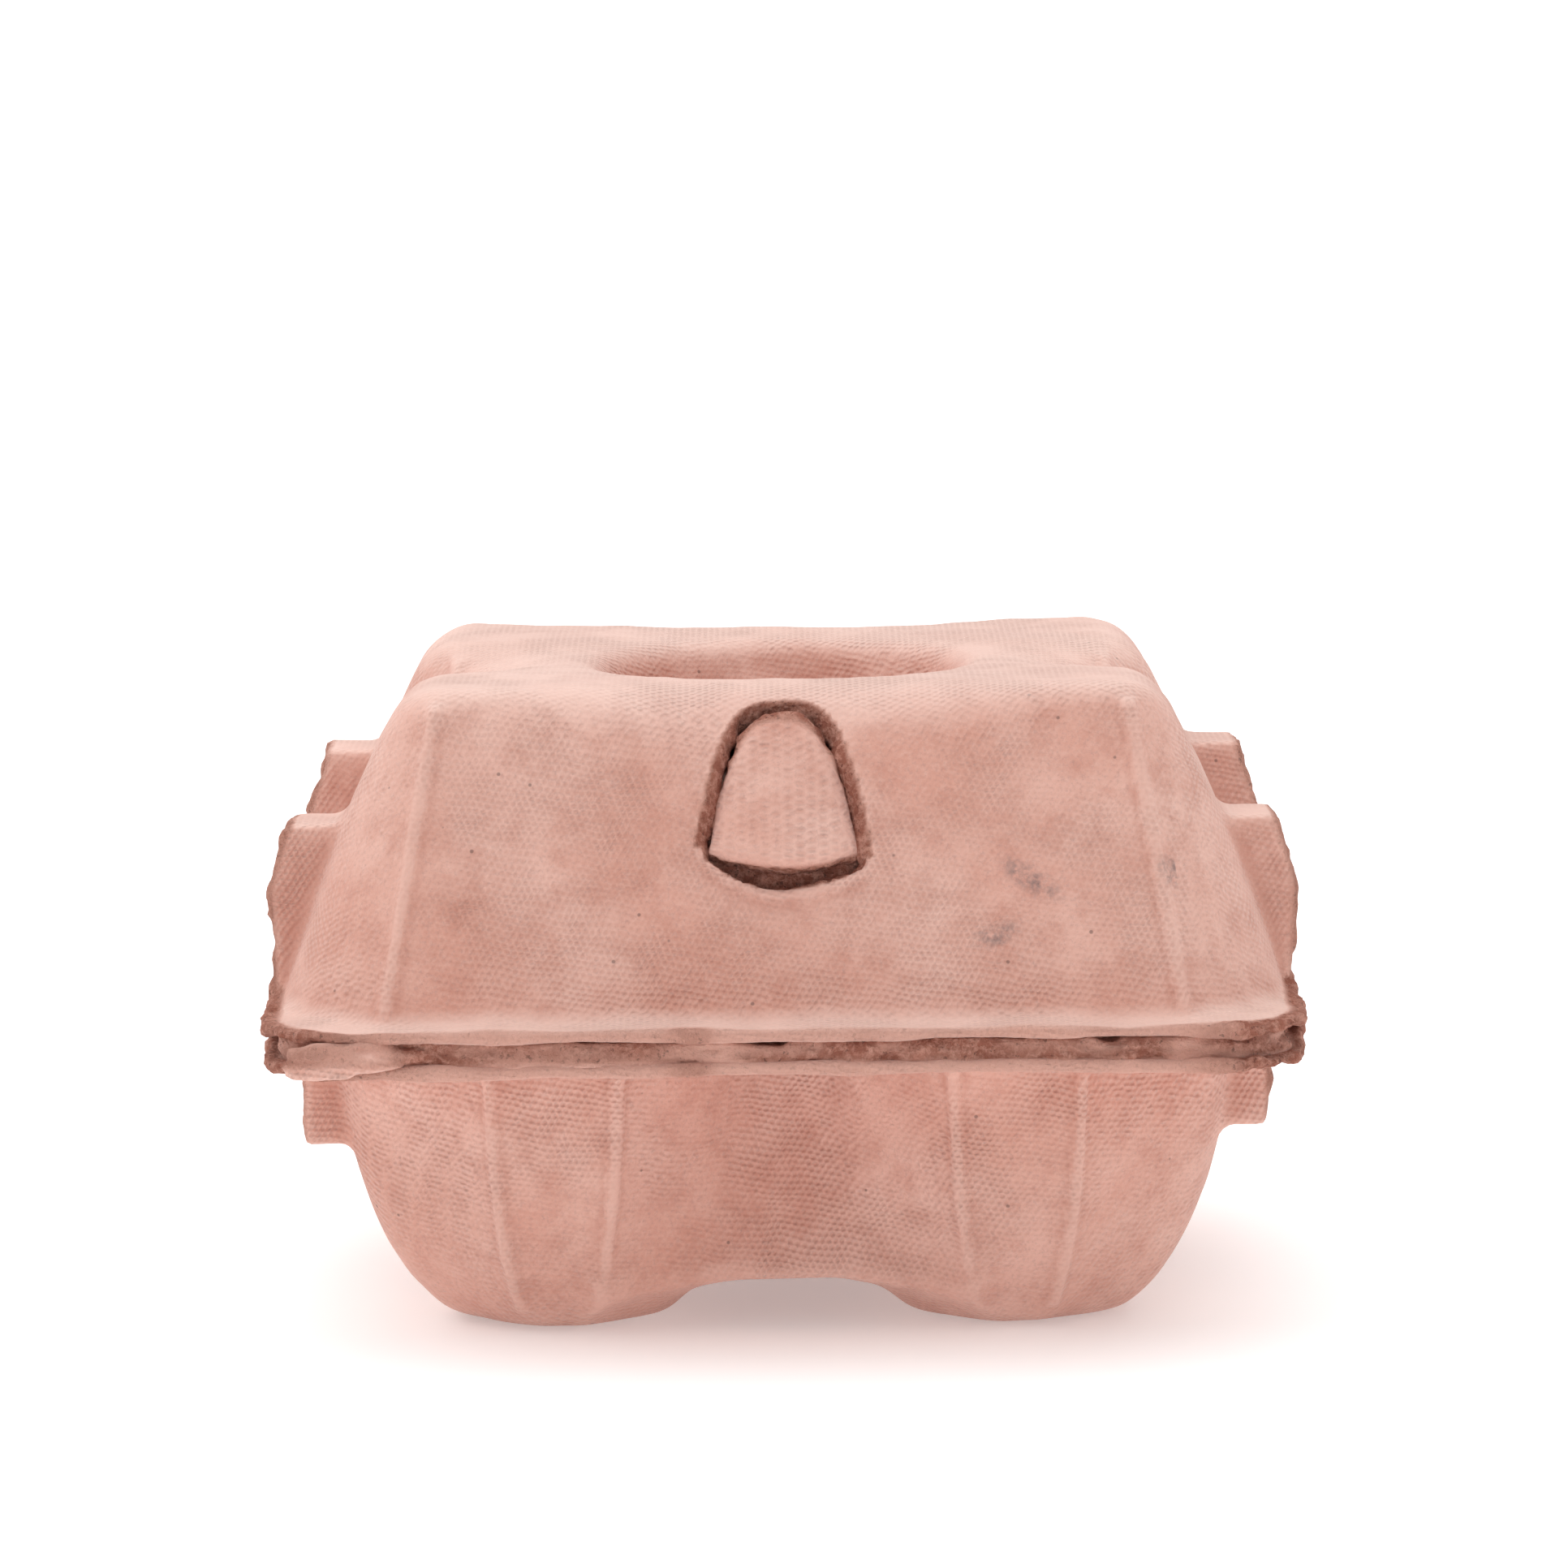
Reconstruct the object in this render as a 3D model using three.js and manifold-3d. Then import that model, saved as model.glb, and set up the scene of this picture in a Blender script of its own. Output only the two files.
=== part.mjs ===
// Moulded-pulp egg carton for four eggs, closed, in millimetres. +Z is up, +X is right, and the
// locking front faces -Y. The origin is on the ground under the middle of the carton.
// The carton is one sheet of pulp in the real thing: a base tray, a lid folded over from the rear rim,
// and a lock flap folded in from the front rim, whose button shows through an arch in the lid.
import * as THREE from "three";
import { mergeVertices } from "three/addons/utils/BufferGeometryUtils.js";
import Module from "manifold-3d";

const wasm = await Module();
wasm.setup();

// ---- Driving dimensions -------------------------------------------------------------------------
const PULP = 1.9; // thickness of the moulded sheet
const SEAM = 0.3; // gap between neighbouring pieces of the sheet
const HEIGHT = 70; // ground to the top of the closed lid
const FLANGE_WIDTH = 109; // rim of the tray and the lid, along X
const RIM_HALF_DEPTH = 55; // ground plan from the middle to the front and rear edges
const FLANGE_CORNER = 11; // corner radius of the rims
const FLANGE = 1.8; // thickness of each rim
const PARTING_Z = 33.5; // middle of the gap between the two rims
const PARTING_GAP = 1.8; // height of that gap, which the folded strip of the lock flap fills

const CUP_PITCH_X = 49; // between the left and right cups
const CUP_PITCH_Y = 48; // between the front and rear cups
const CUP_RIM = 23.2; // outer radius of a cup under the rim
const CUP_FOOT = 9.5; // radius of a cup's flat foot
const CUP_BELLY = 21; // how far the side of a cup swells out low down
const CUP_BELLY_Z = 7;
const WEB_Z = 22; // underside of the bridge between the cups
const WEB_INSET_X = 8; // from the cups' outermost line to the bridge's edge
const WEB_INSET_Y = 14;
const WEB_CORNER = 6; // corner radius of the bridge, seen from above
const TROUGH_HALF_WIDTH = 20; // gutter between two cups, at the front and at the rear
const TROUGH_Z = 7;
const TROUGH_INSET_TOP = 16; // from the cups' outermost line to the gutter's outer wall, under the rim
const TROUGH_INSET_FOOT = 10;
const TROUGH_TOP = 12; // width of the gutter at the bridge
const TROUGH_FOOT = 6;
const POST_FOOT = 10; // radius of the middle post where it leaves the tray
const POST_TOP = 5.5;

const LID_INSET_X = 0.8; // from the rim's edge to the lid's side wall
const LID_INSET_FRONT = 5.5; // from the rim's edge to the lid's front and rear walls
const FRONT_LEAN = 0.33; // how far the front and rear walls lean in for each millimetre of height
const LID_CORNER = 14;
const PLATEAU_RADIUS = 22.5; // inner edge of the flat top, round the recess
const RECESS_RIM = 20;
const RECESS_RIM_DROP = 1.7; // the rim of the recess lies below the flat top
const RECESS_FLOOR = 11;
const RECESS_DEPTH = 14.5;
const VALLEY_DEPTH = 6; // groove down each side of the lid between its front and rear lobes
const VALLEY_DROP = 4; // how far the groove lowers the top
const VALLEY_HALF_WIDTH = 18;
// The lid's side, from its foot to its flat top. Each step is a share of the height, how far the side
// walls and then the front wall's edge have come in by there, and the change in the corner's radius.
const LID_STEPS_UP = [
  [0, 0, 0, 0],
  [0.3, 3, 0, 0],
  [0.56, 6.6, 0, 0],
  [0.78, 10.2, 0, -1],
  [0.93, 13.6, 0.3, -1],
  [0.98, 15.6, 1.2, -2],
  [1, 18.5, 3.5, -3],
];

const EAR_Y = 31; // outer face of each side shoulder
const EAR_LENGTH = 11; // along Y
const EAR_REACH = 1.2; // past the rim's edge
const EAR_TOP_Z = 55.6; // flat lip of the lid's shoulders
const EAR_FOOT_Z = 21; // underside of the tray's shoulders
const EAR_SLOPE = 2.4; // how far the top of the lid's shoulder slants in
const EAR_SLOPE_HEIGHT = 7;
const TRAY_EAR_INSET_TOP = 3.6; // from the reach of the lid's shoulder to the tray's, under the rim
const TRAY_EAR_INSET_FOOT = 4.6;

const ARCH_Z = 51.5; // sill of the lock opening
const ARCH_HEIGHT = 15.5;
const ARCH_FOOT = 18.4; // width at the sill
const ARCH_HEAD = 10.5; // width at the springing of the round head
const BUTTON_CLEARANCE = 0.8; // button to the edge of the opening
const BUTTON_PROUD = 2.2; // button in front of the lid's wall
const FLAP_CLEARANCE = 0.6; // flap behind the lid's wall
const FLAP_TOP_Z = 62;
const FLAP_FOOT = 60; // width of the flap at its crease
const FLAP_HEAD = 30; // width of the flap at its top
const FLAP_STRIP = 1.2; // thickness of the strip folded over the front rim
const FOLD_LENGTH = 84; // length of the folds at the front and rear rims

const ROUND_STEPS = 24; // sides of a cup
const LID_SIDES = 60; // sides of the lid's rings

// ---- Worked-out places --------------------------------------------------------------------------
const trayRimTop = PARTING_Z - PARTING_GAP / 2;
const trayRimBottom = trayRimTop - FLANGE;
const lidRimBottom = PARTING_Z + PARTING_GAP / 2;
const lidRimTop = lidRimBottom + FLANGE;
const foldRadius = FLANGE + PARTING_GAP / 2;
const rearRimY = RIM_HALF_DEPTH - foldRadius - SEAM;
const frontFoldRadius = (FLANGE + SEAM + FLAP_STRIP) / 2;
const frontTrayY = RIM_HALF_DEPTH - frontFoldRadius - SEAM;
const lidHalfX = FLANGE_WIDTH / 2 - LID_INSET_X;
const lidHalfY = RIM_HALF_DEPTH - LID_INSET_FRONT;
const earRoot = lidHalfX - EAR_LENGTH;
const earReach = FLANGE_WIDTH / 2 + EAR_REACH;
const recessFloorZ = HEIGHT - RECESS_DEPTH;
const leanAngle = Math.atan(FRONT_LEAN);
const CUT = 20; // how far a cutter runs past what it cuts

// ---- Solids -------------------------------------------------------------------------------------
function solidOf(geometry) {
  geometry.deleteAttribute("normal");
  geometry.deleteAttribute("uv");
  const merged = mergeVertices(geometry, 1e-4);
  const mesh = new wasm.Mesh({
    numProp: 3,
    vertProperties: merged.attributes.position.array,
    triVerts: new Uint32Array(merged.index.array),
  });
  return new wasm.Manifold(mesh);
}

function union(solids) {
  return solids.reduce((sum, solid) => sum.add(solid));
}

function roundedRect(left, right, front, rear, corner) {
  const shape = new THREE.Shape();
  shape.moveTo(left + corner, front);
  shape.absarc(right - corner, front + corner, corner, -Math.PI / 2, 0);
  shape.absarc(right - corner, rear - corner, corner, 0, Math.PI / 2);
  shape.absarc(left + corner, rear - corner, corner, Math.PI / 2, Math.PI);
  shape.absarc(left + corner, front + corner, corner, Math.PI, Math.PI * 1.5);
  return shape;
}

// A plate of the given outline in the XY plane, from one height to another.
function plate(shape, bottom, top) {
  const options = { depth: top - bottom, bevelEnabled: false, curveSegments: 6 };
  return new THREE.ExtrudeGeometry(shape, options).translate(0, 0, bottom);
}

// An outline given as (across, up) points in the XZ plane, run from one Y to another.
function runAlongY(points, fromY, toY) {
  const shape = new THREE.Shape(points.map(([x, z]) => new THREE.Vector2(x, z)));
  const options = { depth: toY - fromY, bevelEnabled: false };
  return new THREE.ExtrudeGeometry(shape, options).rotateX(Math.PI / 2).translate(0, toY, 0);
}

// An outline given as (y, z) points, run from one X to another.
function runAlongX(points, fromX, toX) {
  const shape = new THREE.Shape(points.map(([y, z]) => new THREE.Vector2(y, z)));
  const options = { depth: toX - fromX, bevelEnabled: false };
  const geometry = new THREE.ExtrudeGeometry(shape, options);
  return geometry.rotateZ(Math.PI / 2).rotateY(Math.PI / 2).translate(fromX, 0, 0);
}

// A profile of (radius, z) points turned about the Z axis.
function turned(points, steps) {
  const profile = points.map(([radius, z]) => new THREE.Vector2(radius, z));
  return new THREE.LatheGeometry(profile, steps).rotateX(Math.PI / 2);
}

// Where a ray from the middle, at this angle, leaves a rounded rectangle.
function edgeDistance(ring, angle) {
  const c = Math.abs(Math.cos(angle));
  const s = Math.abs(Math.sin(angle));
  const cornerX = ring.halfX - ring.corner;
  const cornerY = ring.halfY - ring.corner;
  if (s * ring.halfX <= c * cornerY) return ring.halfX / c;
  if (c * ring.halfY <= s * cornerX) return ring.halfY / s;
  const along = c * cornerX + s * cornerY;
  return along + Math.sqrt(along ** 2 - cornerX ** 2 - cornerY ** 2 + ring.corner ** 2);
}

// A solid through rounded-rectangle rings, closed on the axis at its first and last heights.
function loft(rings, steps, shape = (point) => point) {
  const profile = rings.map((ring) => new THREE.Vector2(ring.halfX, ring.z));
  profile.unshift(new THREE.Vector2(0, rings[0].z));
  profile.push(new THREE.Vector2(0, rings.at(-1).z));
  const geometry = new THREE.LatheGeometry(profile, steps);
  const places = geometry.attributes.position;
  for (let i = 0; i < places.count; i++) {
    const ring = rings[(i % profile.length) - 1];
    if (!ring) continue;
    const step = Math.floor(i / profile.length) % steps;
    const angle = (step / steps) * 2 * Math.PI;
    const reach = edgeDistance(ring, angle);
    const point = shape(new THREE.Vector3(reach * Math.cos(angle), ring.z, -reach * Math.sin(angle)));
    places.setXYZ(i, point.x, point.y, point.z);
  }
  return geometry.rotateX(Math.PI / 2);
}

// ---- Base tray ----------------------------------------------------------------------------------
// One cup, as a full solid of its outer or, with a wall taken off, its inner surface.
function cup(wall, top) {
  const side = new THREE.QuadraticBezierCurve(
    new THREE.Vector2(CUP_FOOT - wall, wall),
    new THREE.Vector2(CUP_BELLY - wall, CUP_BELLY_Z + wall),
    new THREE.Vector2(CUP_RIM - wall, trayRimBottom),
  );
  const points = side.getPoints(6).map((point) => [point.x, point.y]);
  const wallTop = top > trayRimBottom ? [[CUP_RIM - wall, top]] : [];
  return turned([[0, wall], ...points, ...wallTop, [0, top]], ROUND_STEPS);
}

function fourCups(wall, top) {
  const cups = [];
  for (const sideX of [-1, 1]) {
    for (const sideY of [-1, 1]) {
      const placed = cup(wall, top).translate((sideX * CUP_PITCH_X) / 2, (sideY * CUP_PITCH_Y) / 2, 0);
      cups.push(solidOf(placed));
    }
  }
  return cups;
}

const cupsHalfX = CUP_PITCH_X / 2 + CUP_RIM;
const cupsHalfY = CUP_PITCH_Y / 2 + CUP_RIM;

// The bridge that joins the cups under the rim.
function bridge(wall, bottom, top) {
  const halfX = cupsHalfX - WEB_INSET_X - wall;
  const halfY = cupsHalfY - WEB_INSET_Y - wall;
  return solidOf(plate(roundedRect(-halfX, halfX, -halfY, halfY, WEB_CORNER - wall), bottom, top));
}

// The gutter between two cups, on the front or the rear side. Its outer wall leans out downwards.
function trough(side, wall, top) {
  const outerTop = cupsHalfY - TROUGH_INSET_TOP - wall;
  const outerFoot = cupsHalfY - TROUGH_INSET_FOOT - wall;
  const points = [
    [side * (outerTop - TROUGH_TOP + 2 * wall), top],
    [side * (outerTop - TROUGH_TOP + 2 * wall), WEB_Z],
    [side * (outerFoot - TROUGH_FOOT + 2 * wall), TROUGH_Z + wall],
    [side * outerFoot, TROUGH_Z + wall],
    [side * outerTop, top],
  ];
  const outline = side > 0 ? points : points.reverse();
  return solidOf(runAlongX(outline, -TROUGH_HALF_WIDTH + wall, TROUGH_HALF_WIDTH - wall));
}

// The outlines of a side shoulder as (x, z) points: the tray's hangs under its rim, and the lid's
// stands on its rim with its top slanting in.
function trayEarOutline(foot, top, wall) {
  const reach = earReach - wall;
  const side = [[reach - TRAY_EAR_INSET_FOOT, foot], [reach - TRAY_EAR_INSET_TOP, top]];
  return [[earRoot, foot], ...side, [earRoot, top]];
}

function lidEarOutline(foot, top, wall) {
  const reach = earReach - wall;
  const slant = [[reach, top - EAR_SLOPE_HEIGHT], [reach - EAR_SLOPE, top]];
  return [[earRoot, foot], [reach, foot], ...slant, [earRoot, top]];
}

function ears(outline, wall) {
  const solids = [];
  for (const sideX of [-1, 1]) {
    for (const sideY of [-1, 1]) {
      const points = outline.map(([x, z]) => [sideX * x, z]);
      const near = EAR_Y - wall;
      const far = EAR_Y - EAR_LENGTH + wall;
      const [fromY, toY] = sideY > 0 ? [far, near] : [-near, -far];
      solids.push(solidOf(runAlongY(sideX > 0 ? points : points.reverse(), fromY, toY)));
    }
  }
  return solids;
}

const postTopZ = recessFloorZ - PULP - 2 * SEAM;

function baseTray() {
  const rim = roundedRect(-FLANGE_WIDTH / 2, FLANGE_WIDTH / 2, -frontTrayY, rearRimY, FLANGE_CORNER);
  const outside = union([
    ...fourCups(0, trayRimBottom),
    bridge(0, WEB_Z, trayRimBottom),
    trough(-1, 0, trayRimBottom),
    trough(1, 0, trayRimBottom),
    ...ears(trayEarOutline(EAR_FOOT_Z, trayRimBottom, 0), 0),
    solidOf(plate(rim, trayRimBottom, trayRimTop)),
  ]);
  const inside = union([
    ...fourCups(PULP, trayRimTop + CUT),
    bridge(PULP, WEB_Z + PULP, trayRimTop + CUT),
    trough(-1, PULP, trayRimTop),
    trough(1, PULP, trayRimTop),
    ...ears(trayEarOutline(EAR_FOOT_Z + PULP, trayRimBottom, PULP), PULP),
  ]);
  const post = turned([[0, WEB_Z], [POST_FOOT, WEB_Z], [POST_TOP, postTopZ], [0, postTopZ]], ROUND_STEPS);
  const bore = turned(
    [[0, WEB_Z - CUT], [POST_FOOT - PULP, WEB_Z - CUT], [POST_FOOT - PULP, WEB_Z],
      [POST_TOP - PULP, postTopZ - PULP], [0, postTopZ - PULP]],
    ROUND_STEPS,
  );
  return outside.subtract(inside).add(solidOf(post)).subtract(solidOf(bore));
}

// ---- Lid ----------------------------------------------------------------------------------------
// Draws the lid's sides in along the groove between its front and rear lobes.
function sideValley(point) {
  const across = Math.abs(point.z) / VALLEY_HALF_WIDTH;
  const outward = (Math.abs(point.x) - PLATEAU_RADIUS) / (lidHalfX - PLATEAU_RADIUS);
  if (across >= 1 || outward <= 0) return point;
  const share = (1 + Math.cos(Math.PI * across)) / 2;
  const reach = share * Math.min(1, outward);
  const height = Math.max(0, (point.y - lidRimTop) / (HEIGHT - lidRimTop));
  point.x -= Math.sign(point.x) * VALLEY_DEPTH * reach;
  point.y -= VALLEY_DROP * reach * height ** 2;
  return point;
}

// The lid's surface from its foot to the middle of the recess. A wall moves it inwards, or down.
function lidRings(wall, footZ) {
  const rise = HEIGHT - lidRimTop;
  const leaning = (share) => lidHalfY - FRONT_LEAN * share * rise;
  const shoulder = (share, insetX, insetY, corner) => ({
    halfX: lidHalfX - insetX - wall,
    halfY: leaning(share) - insetY - wall,
    corner: LID_CORNER + corner - wall / 2,
    z: lidRimTop + share * rise - (insetX / 20) * wall,
  });
  const round = (radius, z) => ({ halfX: radius, halfY: radius, corner: radius, z });
  const side = LID_STEPS_UP.map((step) => shoulder(...step));
  return [
    { ...side[0], z: footZ },
    ...side.slice(0, -1),
    { ...side.at(-1), z: HEIGHT - wall },
    round(PLATEAU_RADIUS + wall / 3, HEIGHT - wall),
    round(RECESS_RIM + wall, HEIGHT - RECESS_RIM_DROP - wall / 2),
    round((RECESS_RIM + RECESS_FLOOR) / 2 + wall, recessFloorZ + RECESS_RIM_DROP),
    round(RECESS_FLOOR + wall / 2, recessFloorZ - wall),
  ];
}

// Carries a plate that was drawn flat on the lid's front wall to its place there. X runs across
// the wall, Y up it from the top of the rim, and Z out of it.
function onFrontWall(geometry) {
  return geometry.rotateX(Math.PI / 2 - leanAngle).translate(0, -lidHalfY, lidRimTop);
}

// How far up the wall a height is, at a depth behind the wall's outer face.
const upWall = (z, depth = 0) => (z - lidRimTop + depth * Math.sin(leanAngle)) / Math.cos(leanAngle);

// The outline of the lock opening, or with a clearance taken off, of the button in it.
function archShape(clearance) {
  const foot = ARCH_FOOT / 2 - clearance;
  const head = ARCH_HEAD / 2 - clearance;
  const sill = upWall(ARCH_Z) + clearance;
  const springing = upWall(ARCH_Z + ARCH_HEIGHT) - ARCH_HEAD / 2;
  const shape = new THREE.Shape();
  shape.moveTo(-foot, sill);
  shape.lineTo(foot, sill);
  shape.lineTo(head, springing);
  shape.absarc(0, springing, head, 0, Math.PI);
  return shape;
}

function lid() {
  const rim = roundedRect(-FLANGE_WIDTH / 2, FLANGE_WIDTH / 2, -RIM_HALF_DEPTH, rearRimY, FLANGE_CORNER);
  const outside = union([
    solidOf(loft(lidRings(0, lidRimBottom), LID_SIDES, sideValley)),
    ...ears(lidEarOutline(lidRimBottom, EAR_TOP_Z, 0), 0),
    solidOf(plate(rim, lidRimBottom, lidRimTop)),
  ]);
  const inside = union([
    solidOf(loft(lidRings(PULP, lidRimBottom - CUT), LID_SIDES, sideValley)),
    ...ears(lidEarOutline(lidRimTop, EAR_TOP_Z - PULP, PULP), PULP),
  ]);
  const opening = onFrontWall(plate(archShape(0), -PULP - CUT / 4, CUT / 4));
  return outside.subtract(inside).subtract(solidOf(opening));
}

// ---- Folds and lock flap ------------------------------------------------------------------------
// A fold that wraps round two rims: a half ring in section, open towards the carton.
function fold(y, z, side, outer, inner) {
  const ring = new THREE.Shape();
  ring.absarc(0, 0, outer, -Math.PI / 2, Math.PI / 2);
  ring.absarc(0, 0, inner, Math.PI / 2, -Math.PI / 2, true);
  const points = ring.getPoints(8).map((point) => [y + side * point.x, z + side * point.y]);
  return solidOf(runAlongX(points, -FOLD_LENGTH / 2, FOLD_LENGTH / 2));
}

const flapBack = PULP + FLAP_CLEARANCE; // outer face of the flap behind the wall's outer face
const flapOuterY = (z) => -lidHalfY + FRONT_LEAN * (z - lidRimTop) + flapBack / Math.cos(leanAngle);
const stripTop = trayRimTop + SEAM + FLAP_STRIP;
const creaseFrontY = flapOuterY(stripTop);
const creaseRearY = creaseFrontY + PULP / Math.cos(leanAngle);

function frontFold() {
  const z = trayRimBottom + frontFoldRadius;
  const bend = fold(-frontTrayY - SEAM, z, -1, frontFoldRadius, SEAM / 2);
  const left = -FOLD_LENGTH / 2;
  const strip = [
    [-frontTrayY - 2 * SEAM, trayRimTop + SEAM],
    [creaseFrontY - SEAM, trayRimTop + SEAM],
    [creaseFrontY - SEAM, stripTop],
    [-frontTrayY - 2 * SEAM, stripTop],
  ];
  return bend.add(solidOf(runAlongX(strip, left, -left)));
}

function flapCrease() {
  const points = [
    [creaseFrontY, trayRimTop + SEAM],
    [creaseRearY, trayRimTop + SEAM],
    [creaseRearY, stripTop],
    [creaseFrontY, stripTop],
  ];
  return solidOf(runAlongX(points, -FLAP_FOOT / 2, FLAP_FOOT / 2));
}

function lockFlap() {
  const foot = upWall(stripTop + SEAM, flapBack + PULP);
  const head = upWall(FLAP_TOP_Z, flapBack + PULP);
  const shape = new THREE.Shape();
  shape.moveTo(-FLAP_FOOT / 2, foot);
  shape.lineTo(FLAP_FOOT / 2, foot);
  shape.lineTo(FLAP_HEAD / 2, head);
  shape.lineTo(-FLAP_HEAD / 2, head);
  return solidOf(onFrontWall(plate(shape, -flapBack - PULP, -flapBack)));
}

function lockButton() {
  return solidOf(onFrontWall(plate(archShape(BUTTON_CLEARANCE), SEAM - flapBack, BUTTON_PROUD)));
}

// ---- The carton ---------------------------------------------------------------------------------
const pulpColour = 0xdfb09c;
const carton = new THREE.Group();

function addPiece(name, solid, colour = pulpColour) {
  const made = solid.getMesh();
  const geometry = new THREE.BufferGeometry();
  geometry.setAttribute("position", new THREE.BufferAttribute(made.vertProperties, 3));
  geometry.setIndex(new THREE.BufferAttribute(made.triVerts, 1));
  geometry.computeVertexNormals();
  const material = new THREE.MeshStandardMaterial({ color: colour, roughness: 0.95, metalness: 0 });
  const mesh = new THREE.Mesh(geometry, material);
  mesh.name = name;
  carton.add(mesh);
}

addPiece("base_tray", baseTray());
addPiece("front_fold", frontFold(), 0xd9a995);
addPiece("flap_crease", flapCrease(), 0xd9a995);
addPiece("lock_flap", lockFlap(), 0xdcae9b);
addPiece("lock_button", lockButton(), 0xe3b6a3);
addPiece("lid_hinge_web", fold(rearRimY + SEAM, PARTING_Z, 1, foldRadius, PARTING_GAP / 2), 0xd9a995);
addPiece("lid", lid(), 0xe6bba8);

export default carton;
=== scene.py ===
"""A moulded-pulp egg carton for four eggs, seen closed on a pale floor.

Each region of the carton is a shell of pulp. Its surface is a distance field in millimetres, which is zero on
the skin and negative inside the pulp. A surface net turns the field into an even mesh, and seeded noise then
gives it the lumps and frayed edges of real pulp.
"""
import math

import bpy
import numpy as np
from mathutils import Matrix, Vector


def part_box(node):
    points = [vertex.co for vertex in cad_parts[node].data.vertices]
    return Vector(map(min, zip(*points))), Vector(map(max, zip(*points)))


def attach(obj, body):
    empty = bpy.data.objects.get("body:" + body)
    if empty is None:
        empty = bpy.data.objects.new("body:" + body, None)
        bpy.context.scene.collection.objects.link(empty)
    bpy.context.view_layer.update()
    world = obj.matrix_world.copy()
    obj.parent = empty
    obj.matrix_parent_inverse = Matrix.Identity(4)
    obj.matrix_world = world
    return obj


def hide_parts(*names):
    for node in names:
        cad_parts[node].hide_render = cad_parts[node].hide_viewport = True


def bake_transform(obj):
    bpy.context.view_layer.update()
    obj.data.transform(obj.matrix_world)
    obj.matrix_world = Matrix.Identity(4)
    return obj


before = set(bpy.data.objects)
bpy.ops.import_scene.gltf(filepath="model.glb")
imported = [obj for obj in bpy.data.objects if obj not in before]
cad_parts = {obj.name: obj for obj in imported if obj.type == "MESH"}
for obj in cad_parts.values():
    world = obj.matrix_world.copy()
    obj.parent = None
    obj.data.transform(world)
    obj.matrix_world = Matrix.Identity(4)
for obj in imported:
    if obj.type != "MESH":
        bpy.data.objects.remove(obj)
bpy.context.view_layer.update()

MM = 0.001
VOXEL = 0.6  # spacing of the surface net, in millimetres
FINE = VOXEL * 0.75  # the same for the smaller pieces
PULP = 1.9  # thickness of the sheet
FAR = 50.0  # a distance that never cuts
FULL_BEND = 0.05  # how far a point stands out of its neighbours on a sharp ridge


def box_mm(node):
    low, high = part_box(node)
    return np.array(low) / MM, np.array(high) / MM


# ---- Places taken from the frame ------------------------------------------------------------------
lid_low, lid_high = box_mm("lid")
tray_low, tray_high = box_mm("base_tray")
web_low, web_high = box_mm("lid_hinge_web")
fold_low, fold_high = box_mm("front_fold")
flap_low, flap_high = box_mm("lock_flap")

TOP_Z = lid_high[2]
LID_RIM_BOTTOM = lid_low[2]
LID_RIM_TOP = web_high[2]
RIM = LID_RIM_TOP - LID_RIM_BOTTOM  # thickness of a rim
TRAY_RIM_BOTTOM = web_low[2]
TRAY_RIM_TOP = TRAY_RIM_BOTTOM + RIM
RIM_HALF_X = tray_high[0]
RIM_FRONT_Y = lid_low[1]
RIM_REAR_Y = lid_high[1]
RIM_CORNER = 11.0
LID_WAVE = 11.0  # which slice of the noise each rim's waviness comes from
TRAY_WAVE = 37.0

# The lid.
LID_FOOT_X = RIM_HALF_X - 0.8  # side wall at the rim
LID_FOOT_Y = -RIM_FRONT_Y - 5.5  # front and rear walls at the rim
LEAN = 0.33  # how far the front wall leans in for each millimetre of height
LEAN_ANGLE = math.atan(LEAN)
RIDGE_FOOT_X = 42.1  # crisp ridge between the front face and the side lobe
RIDGE_LEAN = 0.172
VALLEY_HALF_WIDTH = 18.0
VALLEY_DEPTH = 6.0
VALLEY_DROP = 4.5
RECESS_RIM = 20.0
RECESS_RIM_Z = TOP_Z - 1.7
RECESS_FLOOR_Z = TOP_Z - 14.5
RECESS_LEAN = 0.37

# The side shoulders of the lid and the tray.
EAR_Y = 31.0
EAR_REAR_Y = 20.0
EAR_TOP_Z = 55.6
EAR_FOOT_Z = 21.0
TRAY_EAR_X = 52.4
EAR_ROOT = 0.3 * PULP  # how deep a shoulder reaches into the wall it grows from

CREASE = math.radians(28)  # turn of the skin at the ridge


def up_wall(z):
    """Distance up the lid's front wall, from the top of the rim to this height."""
    return (z - LID_RIM_TOP) / math.cos(LEAN_ANGLE)


# The lock opening and the button in it: (top, height, half width at the foot, how square the head is).
ARCH = (up_wall(69.1), 19.9, 9.5, 3.2)
BUTTON = (up_wall(67.7), 15.6, 7.75, 2.7)
ARCH_SILL = up_wall(49.3)
SILL_RISE = 3.2  # of the sill's left end over its middle
SILL_RISE_RIGHT = 1.9  # of its right end
BUTTON_LIP = up_wall(51.3)
LIP_RISE = 1.8  # of the lip's ends over its middle
BUTTON_EDGE = -1.5  # place of the button's edge and lip; less than zero is behind the wall's outer face
BUTTON_PROUD = 2.7
BEVEL = 1.0  # how far the torn edge of the opening slants in for each millimetre of depth
FLAP_BACK = PULP + 0.6  # outer face of the flap behind the wall's outer face

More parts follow.
